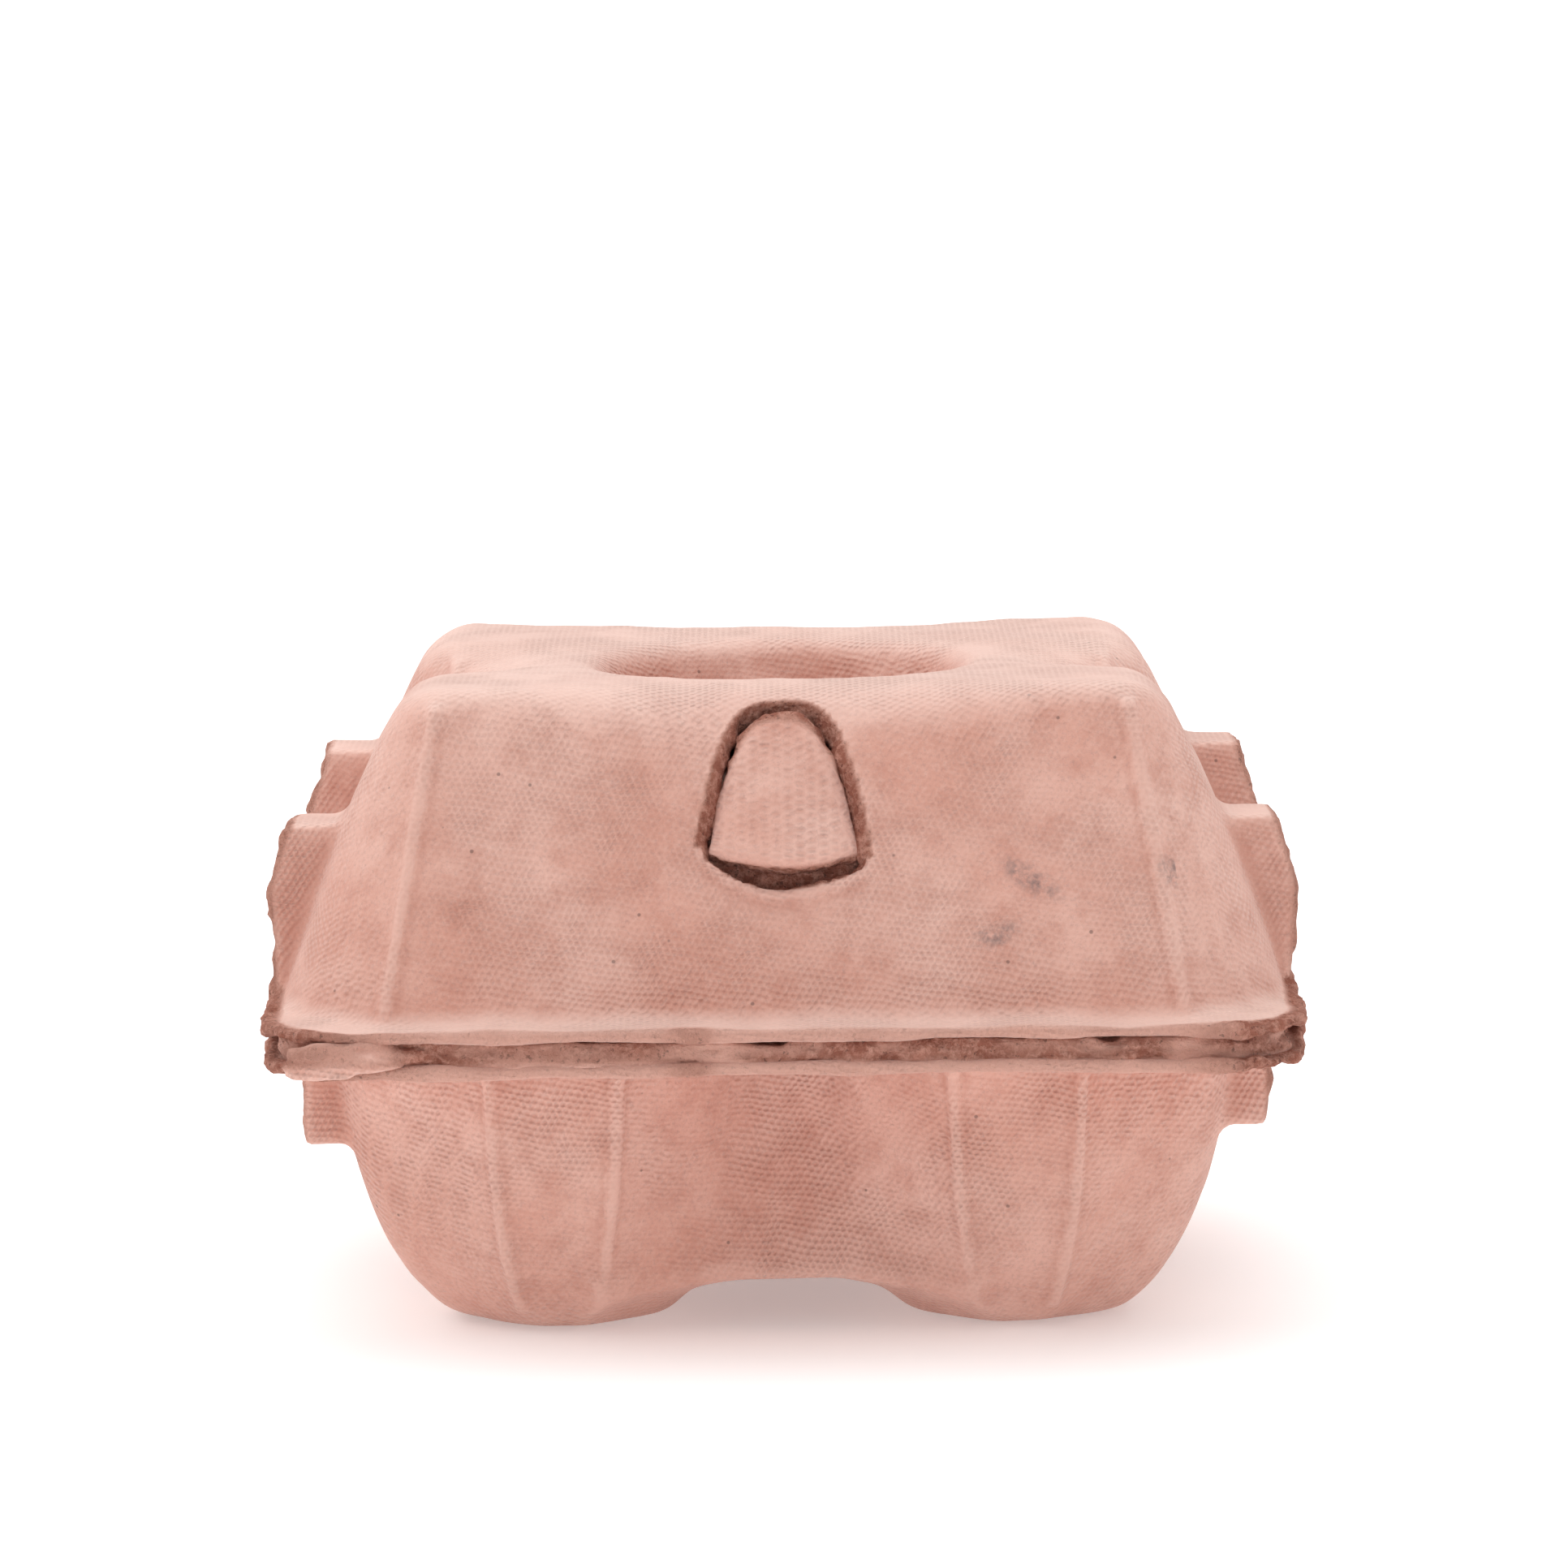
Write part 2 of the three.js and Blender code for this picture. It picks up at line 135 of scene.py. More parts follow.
# The tray.
CUP_X = 24.5
CUP_Y = 24.0
CUP_SIDE = ((9.5, 0.0), (21.0, 7.0), (23.2, 31.0))  # foot, belly and rim of a cup: radius, height
CUP_FACETS = ((0, 0.955), (35, 0.954), (62.5, 0.985), (90, 0.955))  # turn in degrees, share of the radius
CUP_OUTWARD = 1.8  # how much further a cup reaches at the carton's sides
CUP_INWARD = 1.0  # and, near its foot, towards the next cup
FACET_HALF = 0.298  # half width of the front facet, as a share of the radius
POST_FOOT = 10.0  # outer radii of the hollow post in the middle, at its foot and at its top
POST_TOP = 5.5
BRIDGE_Z = 22.0  # underside of the sheet between the cups
BRIDGE_HALF_X = 39.7
BRIDGE_HALF_Y = 33.2
GUTTER_Z = 5.7  # underside of the gutters between two cups at the front and at the rear
GUTTER_HALF_X = 18.0

# How softly surfaces meet, in millimetres: a cut edge, a torn edge, and the fillets between regions.
CUT_EDGE = 0.4
TORN_EDGE = 0.8
WALL_TO_RIM = 2.6
LID_TO_EAR = 1.6
TRAY_TO_EAR = 1.4
CUP_TO_GUTTER = 6.0
RIDGE_BLEND = 0.9


# ---- Fields ---------------------------------------------------------------------------------------
def smooth_min(a, b, k):
    h = np.maximum(k - np.abs(a - b), 0) / k
    return np.minimum(a, b) - h * h * k * 0.25


def smooth_max(a, b, k):
    return -smooth_min(-a, -b, k)


def ease(value, low, high):
    t = np.clip((value - low) / (high - low), 0, 1)
    return t * t * (3 - 2 * t)


def rounded_rect(x, y, half_x, half_y, corner):
    qx = np.abs(x) - (half_x - corner)
    qy = np.abs(y) - (half_y - corner)
    outside = np.hypot(np.maximum(qx, 0), np.maximum(qy, 0))
    return outside + np.minimum(np.maximum(qx, qy), 0) - corner


LATTICE = np.random.default_rng(7).random((64, 64, 64)).astype(np.float32)


def noise(x, y, z, size, shift=0.0):
    """Smooth seeded noise from -1 to 1, with lumps of about this size in millimetres."""
    cells, shares = [], []
    for axis, value in enumerate((x, y, z)):
        scaled = np.asarray(value, dtype=np.float32) / size + shift * (axis + 1.7) + 640
        cell = np.floor(scaled).astype(np.int32)
        share = scaled - cell
        cells.append(cell)
        shares.append(share * share * (3 - 2 * share))
    total = 0.0
    for corner in range(8):
        steps = [(corner >> axis) & 1 for axis in range(3)]
        weight = 1.0
        for step, share in zip(steps, shares):
            weight = weight * (share if step else 1 - share)
        index = tuple((cell + step) % 64 for cell, step in zip(cells, steps))
        total = total + weight * LATTICE[index]
    return total * 2 - 1


def lid_rise(z):
    return np.maximum(z - LID_RIM_TOP, 0)


def ridge_x(z):
    return RIDGE_FOOT_X - RIDGE_LEAN * lid_rise(z)


def lid_section(x, y, z):
    """Distance from the lid's wall, seen from above, at each height."""
    rise = lid_rise(z)
    valley = np.cos(np.clip(np.abs(y) / VALLEY_HALF_WIDTH, 0, 1) * math.pi) * 0.5 + 0.5
    half_x = LID_FOOT_X - 0.27 * rise - 0.0042 * rise**2
    half_y = LID_FOOT_Y - LEAN * rise
    corner = (half_x - ridge_x(z)) / (1 - math.sin(CREASE))
    beyond = corner * (1 - math.cos(CREASE))
    lobes = rounded_rect(np.abs(x) + VALLEY_DEPTH * valley, y, half_x, half_y + beyond, corner)
    return smooth_max(lobes, np.abs(y) - half_y, 0.5) * math.cos(LEAN_ANGLE)


def lid_outer(x, y, z):
    """The lid as a full solid: its walls, its dished top with a groove at each side, and its recess."""
    radius = np.hypot(x, y)
    groove = np.exp(-((y / 11.0) ** 2)) * ease(np.abs(x), 20, 42)
    dish = 0.9 * np.exp(-(((radius - RECESS_RIM) / 6.0) ** 2))
    top = z - (TOP_Z - 0.15 - VALLEY_DROP * groove - dish)
    crown = 11.0 - 7.0 * ease(np.abs(x), 8, 34)
    body = smooth_max(lid_section(x, y, z), top, crown)
    side = (radius - (RECESS_RIM - RECESS_LEAN * (RECESS_RIM_Z - z))) * 0.94
    hollow = smooth_max(side, RECESS_FLOOR_Z - z, 7.0)
    return smooth_max(body, -hollow, 3.0)


def wall_place(y, z):
    """(distance up the front wall from the rim, distance out of it)."""
    up = (z - LID_RIM_TOP) * math.cos(LEAN_ANGLE) + (y + LID_FOOT_Y) * math.sin(LEAN_ANGLE)
    out = (z - LID_RIM_TOP) * math.sin(LEAN_ANGLE) - (y + LID_FOOT_Y) * math.cos(LEAN_ANGLE)
    return up, out


def under_arch(x, up, shape):
    """Distance from a round-headed outline, in the plane of the front wall."""
    top, height, half, power = shape
    share = np.abs(x) / half
    over = up - top + height * share**power
    steepness = height * power / half * share ** (power - 1)
    return over / np.sqrt(1 + steepness**2)


def sill(x):
    return ARCH_SILL + np.where(x > 0, SILL_RISE_RIGHT, SILL_RISE) * (x / BUTTON[2]) ** 2


def rim_outline(x, y):
    middle_y = (RIM_FRONT_Y + RIM_REAR_Y) / 2
    return rounded_rect(x, y - middle_y, RIM_HALF_X, (RIM_REAR_Y - RIM_FRONT_Y) / 2, RIM_CORNER)


def rim_wave(x, y, wave):
    """How far a rim's middle is lifted, and how much each of its faces is worn away."""
    lift = 0.26 * noise(x, y, wave, 16.0) + 0.12 * noise(x, y, wave, 4.0)
    return lift, 0.2 + 0.2 * noise(x, y, wave, 7.0, 9.0)


def rim_field(x, y, z, bottom, top, wave):
    """A rim: a plate with a wavy middle and a frayed outline."""
    side = ease(np.abs(x), 36, 50)
    fray = (0.45 + 0.55 * side) * (0.45 * noise(x, y, wave, 5.0) + 0.3 * noise(x, y, wave, 1.7))
    lift, worn = rim_wave(x, y, wave)
    height = (bottom + top) / 2 + lift
    edge = rim_outline(x, y) + 0.3 - 0.8 * side + fray
    return smooth_max(edge, np.abs(z - height) - (top - bottom) / 2 + worn, 0.8)


def rest_gap(y):
    """How far the rims reach towards each other at the sides and rear, where no fold parts them."""
    return 0.75 * ease(y, -47, -41)


def shoulder_field(x, y, z, reach, top, bottom, open_down):
    """Hollow shoulders at both sides, towards the front and the rear: walls and a lip, torn open at the end."""
    deep = (top - z) if not open_down else (z - bottom)
    rear = EAR_REAR_Y - 0.2 * np.maximum(deep, 0)
    middle = (EAR_Y + rear) / 2
    walls = np.abs(np.abs(y) - middle) - (EAR_Y - rear) / 2
    lip = (z - top) if not open_down else (bottom - z)
    body = smooth_max(walls, lip, 1.2)
    shell = smooth_max(body, -(body + PULP), TORN_EDGE)
    torn = 0.45 * noise(x * 0.2, y, z, 7.0, 3.0) + 0.28 * noise(x * 0.4, y, z, 2.1, 5.0)
    torn = torn + 0.18 * noise(x, y, z, 1.0)
    ends = (bottom - z) if not open_down else (z - top)
    return np.maximum(smooth_max(shell, np.abs(x) - reach - torn, TORN_EDGE), ends)


def ear_reach(z):
    """How far out the torn ends of the lid's shoulders are at each height."""
    return np.interp(z, (34.0, 39.0, 48.0, 51.5, 55.6), (54.4, 55.0, 55.2, 54.1, 52.8))


def lid_field(x, y, z):
    """The lid: its shell, rim, shoulders and front ridges, with the lock opening cut through."""
    outer = lid_outer(x, y, z)
    up, out = wall_place(y, z)
    under_sill = np.exp(-(((up - sill(x) + 1.6) / 1.3) ** 2)) * ease(11.5 - np.abs(x), 0, 5)
    skin = outer + 0.45 * under_sill * (y < 0)
    shell = np.maximum(smooth_max(skin, -(outer + PULP), 0.5), LID_RIM_BOTTOM + 0.4 - z)
    rim = rim_field(x, y, z, LID_RIM_BOTTOM - rest_gap(y), LID_RIM_TOP, LID_WAVE)
    foot = lid_section(x, y, LID_RIM_TOP + 0 * z)
    rim = np.maximum(rim, -(foot + PULP))
    made = smooth_min(shell, rim, WALL_TO_RIM)
    ear_top = EAR_TOP_Z + np.where(y > 0, 1.2, -0.8)
    ear = shoulder_field(x, y, z, ear_reach(z), ear_top, LID_RIM_BOTTOM + 0.6, False)
    made = smooth_min(made, smooth_max(ear, -(outer + EAR_ROOT), 0.3), LID_TO_EAR)
    ridge = np.hypot(np.abs(x) - ridge_x(z), outer) - 0.5
    ridge = np.maximum(ridge, np.maximum(z - (TOP_Z - 2.0), LID_RIM_TOP - z))
    made = smooth_min(made, ridge, RIDGE_BLEND)
    depth = np.clip(-outer, 0, PULP + 0.4)
    ragged = 0.16 * noise(x, up, 0.0, 1.8) + 0.1 * noise(x, up, 5.0, 0.9)
    head = under_arch(x, up, ARCH) + BEVEL * depth + ragged
    opening = smooth_max(head, sill(x) + 0.3 * depth - up, 1.2)
    cutter = np.maximum(opening, np.abs(out + 3.0) - 6.5)
    return smooth_max(made, -np.where(y < 0, cutter, FAR), CUT_EDGE)


def cup_radius(z):
    """(radius of a cup at each height, how much steeper than upright its side is there)."""
    t = np.linspace(0, 1, 40)
    (r0, z0), (r1, z1), (r2, z2) = CUP_SIDE
    heights = (1 - t) ** 2 * z0 + 2 * (1 - t) * t * z1 + t**2 * z2
    radii = (1 - t) ** 2 * r0 + 2 * (1 - t) * t * r1 + t**2 * r2
    lean = 1 / np.hypot(1, np.gradient(radii, heights))
    return np.interp(z, heights, radii), np.interp(z, heights, lean)


def cup_section(u, w, radius):
    """Distance from a cup's side, seen from above: a ring of flat facets."""
    section = -1000.0
    for turn, share in CUP_FACETS:
        angle = math.radians(turn)
        wider = np.where(u > 0, CUP_OUTWARD, CUP_INWARD * (1 - ease(radius, 12, 20))) * (turn > 45)
        facet = np.abs(u) * math.sin(angle) + np.abs(w) * math.cos(angle) - share * radius - wider
        section = facet if turn == 0 else smooth_max(section, facet, 0.8)
    return section


def tray_outer(x, y, z):
    """The tray as a solid without a top: faceted cups, gutters and bridge between them, and a hollow post."""
    u = np.abs(x) - CUP_X
    w = np.abs(y) - CUP_Y
    radius, lean = cup_radius(z)
    cup = cup_section(u, w, radius) * lean
    cup = smooth_max(cup, 0.1 - z, 1.6)
    gutter_outer = 31.2 + (TRAY_RIM_BOTTOM - z) * 0.25
    gutter_inner = 19.2 + np.maximum(BRIDGE_Z - z, 0) * 0.73
    gutter = smooth_max(np.abs(y) - gutter_outer, gutter_inner - np.abs(y), 2.0)
    gutter = smooth_max(gutter, GUTTER_Z - z, 3.0)
    gutter = np.maximum(gutter, np.abs(x) - GUTTER_HALF_X)
    bridge = rounded_rect(x, y, BRIDGE_HALF_X, BRIDGE_HALF_Y, 6.0)
    bridge = smooth_max(bridge, BRIDGE_Z - z, 3.0)
    made = smooth_min(smooth_min(cup, gutter, CUP_TO_GUTTER), bridge, 3.0)
    post_slope = (POST_FOOT - POST_TOP) / (tray_high[2] - BRIDGE_Z)
    post = np.hypot(x, y) - (POST_FOOT - PULP - post_slope * (z - BRIDGE_Z))
    post = smooth_max(post, z - (tray_high[2] - PULP), 2.0)
    return smooth_max(made, -post, 2.5)


def tray_field(x, y, z):
    """The tray: its shell, rim and shoulders, with a ridge at each side of a cup's front or rear facet."""
    outer = tray_outer(x, y, z)
    shell = smooth_max(outer, -(outer + PULP), CUT_EDGE)
    above = np.where(np.hypot(x, y) < 18, tray_high[2] + 2, TRAY_RIM_TOP - 0.4)
    shell = np.maximum(shell, z - above)
    rim = rim_field(x, y, z, TRAY_RIM_BOTTOM, TRAY_RIM_TOP + rest_gap(y), TRAY_WAVE)
    rim_foot = tray_outer(x, y, TRAY_RIM_BOTTOM + 0 * z)
    rim = np.maximum(rim, -(rim_foot + PULP))
    made = smooth_min(shell, rim, WALL_TO_RIM)
    reach = TRAY_EAR_X - 0.04 * (31 - z)
    foot = EAR_FOOT_Z - 0.5 + 0.011 * x
    ear = shoulder_field(x, y, z, reach, TRAY_RIM_BOTTOM + 0.3, foot, True)
    ear = np.maximum(ear, 44.0 - np.abs(x))
    made = smooth_min(made, smooth_max(ear, -(outer + EAR_ROOT), 0.3), TRAY_TO_EAR)
    u = np.abs(x) - CUP_X
    w = np.abs(y) - CUP_Y
    radius, _ = cup_radius(z)
    ridge = np.hypot(np.abs(u) - FACET_HALF * radius, w - CUP_FACETS[0][1] * radius) - 0.4
    ridge = np.maximum(ridge, np.maximum(3.0 - z, z - TRAY_RIM_BOTTOM))
    return smooth_min(made, ridge, RIDGE_BLEND)


def button_field(x, y, z):
    """The domed button, and a skirt round it that closes the gap to the opening's bevel."""
    up, out = wall_place(y, z)
    lip = BUTTON_LIP + LIP_RISE * (x / BUTTON[2]) ** 2
    low = np.clip((BUTTON[0] - up) / (BUTTON[0] - BUTTON_LIP), 0, 1)
    crown = BUTTON_EDGE + (BUTTON_PROUD - BUTTON_EDGE) * low**0.7 * (1 - 0.5 * (x / BUTTON[2]) ** 2)
    head = under_arch(x, up, BUTTON) - 0.35 + 0.12 * noise(x, up, 0.0, 2.4)
    outline = smooth_max(head, lip - up, 0.3)
    body = smooth_max(outline, out - crown, 2.4)
    shell = smooth_max(body, -(body + PULP * 0.9), CUT_EDGE)
    skirt = np.maximum(under_arch(x, up, ARCH) + 2.0, BUTTON_LIP + 1.5 - up)
    skirt = np.maximum(skirt, np.abs(out - BUTTON_EDGE + 0.5) - 0.45)
    shell = smooth_min(shell, skirt, 0.9)
    return np.maximum(shell, -(FLAP_BACK + 0.3) - out)


def flap_field(x, y, z):
    """The flap behind the lid's front wall, and the strip at its foot."""
    up, out = wall_place(y, z)
    head = (flap_high[2] - LID_RIM_TOP) / math.cos(LEAN_ANGLE) - 0.5
    half = 29.6 + (15.0 - 29.6) * np.clip(up / head, -0.1, 1)
    fray = 0.5 * noise(x, up, 71.0, 4.0)
    outline = smooth_max((np.abs(x) - half) * 0.9, up - head, 6.0) + fray
    plate = smooth_max(outline, np.abs(out + FLAP_BACK + PULP / 2) - PULP / 2, 0.6)
    plate = np.maximum(plate, fold_high[2] - 0.6 - z)
    strip_z = (fold_low[2] + fold_high[2]) / 2 + 1.1
    strip = np.maximum(np.abs(z - strip_z) - 0.55, np.abs(x) - 29.6)
    strip = np.maximum(strip, np.abs(y - (flap_low[1] - 1.5)) - 3.0)
    return smooth_min(plate, strip, 2.0)


def front_fold_field(x, y, z):
    """The fibrous strip in the seam at the front, where the flap folds in over the tray's rim."""
    fray = 0.35 * noise(x, y, z * 1.6, 3.0, 2.0) + 0.45 * noise(x * 0.5, y, z * 2.2, 1.3, 4.0)
    edge = rim_outline(x, y) + 1.0 + fray
    lift, worn = rim_wave(x, y, LID_WAVE)
    slit = 0.8 * ease(noise(x, 0.0, 0.0, 5.0, 6.0), 0.35, 0.7) * ease(x, -8, 2)
    top = LID_RIM_BOTTOM + lift + worn + 0.1 - slit
    slab = np.maximum(TRAY_RIM_TOP - 0.6 - z, z - top)
    made = smooth_max(edge, slab, 0.5)
    chunk = np.hypot(np.hypot((x + 45.5) / 3.6, (y - RIM_FRONT_Y - 0.9) / 0.75), (z - 33.2) / 1.0) - 2.0
    made = smooth_min(made, chunk * 0.8 + 0.8 * fray, 0.8)
    return np.maximum(made, y + 47.0)


def hinge_web_field(x, y, z):
    """The living hinge at the rear: a half ring of pulp round the two rims."""
    middle_y = web_low[1] - 0.3
    middle_z = (TRAY_RIM_BOTTOM + LID_RIM_TOP) / 2
    outer = (LID_RIM_TOP - TRAY_RIM_BOTTOM) / 2
    inner = (LID_RIM_BOTTOM - TRAY_RIM_TOP) / 2
    crease = 0.55 * np.exp(-(((z - middle_z) / 0.45) ** 2))
    sag = 0.3 * ease(np.abs(x), web_high[0] - 9, web_high[0]) + 0.12 * noise(x, 0.0, z, 6.0)
    radius = np.hypot(y - middle_y, z - middle_z) + crease + sag
    ring = smooth_max(radius - outer, inner - radius, 0.4)
    flat = np.maximum(np.abs(z - middle_z) - outer, inner - np.abs(z - middle_z))
    made = np.where(y > middle_y, ring, np.maximum(flat, middle_y - 1.2 - y))
    return np.maximum(made, np.abs(x) - web_high[0] - 0.8 * noise(0.0, y, z, 1.6))


# ---- Meshes ---------------------------------------------------------------------------------------
def net_points(values, cells):
    """The point in each cell, in cells: the mean of the places where its edges cross the surface."""
    total = np.zeros((len(cells), 3))
    crossings = np.zeros(len(cells))
    for axis in range(3):
        along = np.eye(3, dtype=int)[axis]
        others = [a for a in range(3) if a != axis]
        for i, j in ((0, 0), (0, 1), (1, 0), (1, 1)):
            corner = np.zeros(3, dtype=int)
            corner[others] = i, j
            start = values[tuple((cells + corner).T)]
            end = values[tuple((cells + corner + along).T)]
            crosses = (start < 0) != (end < 0)
            share = np.where(crosses, start / np.where(crosses, start - end, 1), 0)
            total[crosses] += (corner + share[:, None] * along)[crosses]
            crossings += crosses
    return cells + total / crossings[:, None]


def net_quads(inside, index, axis):
    """A quad round each grid edge along this axis that crosses the surface, facing outwards."""
    others = [a for a in range(3) if a != axis]
    size = inside.shape[axis]
    first = inside.take(range(size - 1), axis)
    second = inside.take(range(1, size), axis)
    edges = np.argwhere(first != second)
    limit = np.array(index.shape)[others]
    edges = edges[np.all((edges[:, others] > 0) & (edges[:, others] < limit), axis=1)]
    leaving = first[tuple(edges.T)]
    corners = []
    for i, j in ((0, 0), (1, 0), (1, 1), (0, 1)):
        shifted = edges.copy()
        shifted[:, others[0]] -= i
        shifted[:, others[1]] -= j
        corners.append(index[tuple(shifted.T)])
    ring = np.stack(corners, axis=1)
    flip = leaving if axis == 1 else ~leaving
    ring[flip] = ring[flip][:, ::-1]
    return ring


def surface_net(field, low, high, step):
    """(points, quads) of the surface where the field is zero, one point in each grid cell that it crosses."""
    axes = [np.arange(a - 2 * step, b + 3 * step, step, dtype=np.float32) for a, b in zip(low, high)]
    shape = [len(a) for a in axes]
    grid = axes[0][:, None, None], axes[1][None, :, None], axes[2][None, None, :]
    values = np.broadcast_to(field(*grid), shape).astype(np.float32)
    inside = values < 0
    counts = np.zeros([size - 1 for size in shape], dtype=np.int8)
    for corner in range(8):
        i, j, k = ((corner >> axis) & 1 for axis in range(3))
        counts += inside[i : shape[0] - 1 + i, j : shape[1] - 1 + j, k : shape[2] - 1 + k]
    cells = np.argwhere((counts > 0) & (counts < 8))
    index = np.full(counts.shape, -1, dtype=np.int64)
    index[tuple(cells.T)] = np.arange(len(cells))
    points = net_points(values, cells) * step + np.array([a[0] for a in axes])
    quads = np.concatenate([net_quads(inside, index, axis) for axis in range(3)])
    return points, quads


def vertex_normals(points, quads):
    a, b, c, d = (points[quads[:, i]] for i in range(4))
    faces = np.cross(c - a, d - b)
    normals = np.zeros_like(points)
    for i in range(4):
        np.add.at(normals, quads[:, i], faces)
    return normals / np.maximum(np.linalg.norm(normals, axis=1), 1e-9)[:, None]


def neighbour_mean(values, quads):
    total = np.zeros_like(values)
    count = np.zeros(len(values))
    for i in range(4):
        here, there = quads[:, i], quads[:, (i + 1) % 4]
        for a, b in ((here, there), (there, here)):
            count += np.bincount(a, minlength=len(values))
            for axis in range(values.shape[1]):
                total[:, axis] += np.bincount(a, weights=values[b, axis], minlength=len(values))
    return total / count[:, None]


def bend(points, quads, normals):
    """How the skin bends at each point: 1 on a ridge, 0 on a flat, -1 in a crease."""
    inward = points - neighbour_mean(points, quads)
    amount = (inward * normals).sum(axis=1, keepdims=True)
    for _ in range(2):
        amount = (amount + neighbour_mean(amount, quads)) / 2
    return np.clip(amount[:, 0] / FULL_BEND, -1, 1)


def settle(points, field, step):
    """Moves the points onto the field's zero surface, so that ridges finer than the grid come out sharp."""
    probe = step / 6
    for _ in range(3):
        x, y, z = points.T
        here = field(x, y, z)
        slope = []
        for axis in range(3):
            ahead = points + probe * np.eye(3)[axis]
            slope.append((field(*ahead.T) - here) / probe)
        slope = np.stack(slope, axis=1)
        size = np.maximum((slope**2).sum(axis=1), 0.25)
        move = -slope * (here / size)[:, None] * 0.8
        points = points + np.clip(move, -step / 4, step / 4)
    return points


def largest_body(points, quads):
    """The mesh without the crumbs that noise may have cut loose."""
    label = np.arange(len(points))
    while True:
        lowest = label[quads].min(axis=1)
        new = label.copy()
        for i in range(4):
            np.minimum.at(new, quads[:, i], lowest)
        new = new[new]
        if np.array_equal(new, label):
            break
        label = new
    names, sizes = np.unique(label, return_counts=True)
    keep = label == names[sizes.argmax()]
    number = np.cumsum(keep) - 1
    return points[keep], number[quads[keep[quads[:, 0]]]]


def pulp_piece(name, field, low, high, step, edge_and_shade_mask, body=None, lump=1.0):
    """Builds one piece of pulp: the field's surface, with lumps all over and fibres at its torn edges."""
    points, quads = surface_net(field, low, high, step)
    points, quads = largest_body(points, quads)
    points = settle(points, field, step)
    normals = vertex_normals(points, quads)
    x, y, z = points.T
    torn = np.clip(edge_and_shade_mask(x, y, z), 0, 1)
    shift = 0.16 * noise(x, y, z, 9.0) + 0.09 * noise(x, y, z, 3.0, 1.3)
    fibres = 0.42 * noise(x * 0.6, y, z, 1.6, 2.1) + 0.24 * noise(x, y, z, 0.8, 4.2)
    moved = points + normals * (lump * shift + torn * fibres)[:, None]
    mesh = bpy.data.meshes.new(name)
    mesh.from_pydata((moved * MM).tolist(), [], quads.tolist())
    mesh.polygons.foreach_set("use_smooth", np.ones(len(quads), dtype=bool))
    # The torn attribute also holds painted shade on the lock's sill, the button's underside and skirt, and the
    # flap.
    keep_attribute(mesh, "torn", torn)
    keep_attribute(mesh, "bend", bend(points, quads, normals))
    keep_attribute(mesh, "rest", points)
    keep_attribute(mesh, "facing", normals**2)
    mesh.update()
    piece = bpy.data.objects.new(name, mesh)
    bpy.context.scene.collection.objects.link(piece)
    if body:
        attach(piece, body)
    return piece


def keep_attribute(mesh, name, values):
    kind = "FLOAT" if values.ndim == 1 else "FLOAT_VECTOR"
    attribute = mesh.attributes.new(name, kind, "POINT")
    key = "value" if values.ndim == 1 else "vector"
    attribute.data.foreach_set(key, np.ascontiguousarray(values, dtype=np.float32).ravel())


# ---- Where the edges are torn ---------------------------------------------------------------------
def near_outline(x, y):
    """Strong round the frayed corners, faint along the straight front."""
    patches = 0.45 * ease(noise(x, y, 0.0, 6.0, 8.0), 0.1, 0.6)
    strength = np.clip(0.25 + patches + 0.5 * ease(np.abs(x), 38, 52), 0, 1)
    return ease(rim_outline(x, y), -1.6, -0.5) * strength


def lid_torn_and_sill_shade(x, y, z):
    """The bevel of the lock opening, painted shade on its sill, the rim's outline and the ends of the
    shoulders.
    """
    up, out = wall_place(y, z)
    edge = under_arch(x, up, ARCH)
    in_front = y < -30
    bevel = (1 - ease(edge, 0.1, 0.6)) * (edge > -4) * in_front * (up > sill(x) + 0.8) * (out > -7)
    rims = near_outline(x, y) * (z < LID_RIM_TOP + 1.2)
    ears = 0.65 * ease(np.abs(x) - ear_reach(z), -1.0, 0.0)
    ears = ears * (z > LID_RIM_TOP) * (np.abs(y) < EAR_Y + 1)
    # Painted shade: the sill under the button is marked like a torn edge so that it comes out dark brown.
    sill_shade = ease(-out, 0.2, 0.6) * (up > sill(x) - 0.35) * (up < sill(x) + 1.5)
    sill_shade = sill_shade * (np.abs(x) < 9) * in_front
    return np.maximum(np.maximum(bevel, rims), np.maximum(ears, sill_shade))


def tray_torn(x, y, z):
    """The rim's outline and the ends of the shoulders."""
    rims = near_outline(x, y) * (z > TRAY_RIM_BOTTOM - 1)
    ears = 0.6 * ease(np.abs(x), TRAY_EAR_X - 1.2, TRAY_EAR_X - 0.2) * (z < TRAY_RIM_BOTTOM)
    return np.maximum(rims, ears)


def fold_torn(x, y, z):
    """Brown above the tray's rim, in patches, and less so on the folded chunk at the left."""
    patches = 0.68 + 0.5 * noise(x * 0.5, y, z, 2.2, 5.0)
    chunk = 0.45 * np.exp(-(((x + 46) / 6.5) ** 2))
    return ease(z, TRAY_RIM_TOP - 0.5, TRAY_RIM_TOP + 0.1) * (patches - chunk)


def button_cut_and_shade(x, y, z):
    """Painted shade on the underside of the button's lip, which is also its cut edge, and on its skirt."""
    up, out = wall_place(y, z)
    lip = 1 - ease(up - BUTTON_LIP - LIP_RISE * (x / BUTTON[2]) ** 2, -0.1, 0.25)
    return np.maximum(lip, 1 - ease(out, -1.5, -0.7))


def no_torn(x, y, z):
    return np.zeros_like(x)


def flap_shade_and_fray(x, y, z):
    """Painted shade on the flap where it shows under the button's lip, and a little fray at the flap's sides.
    """
    up, out = wall_place(y, z)
    far = np.hypot(x / 9.0, (up - BUTTON_LIP) / 3.4)
    front = ease(out + FLAP_BACK + PULP / 2, -0.2, 0.2)
    return np.maximum((1 - ease(far, 0.6, 1.15)) * front, ease(np.abs(x), 13, 30) * 0.3)


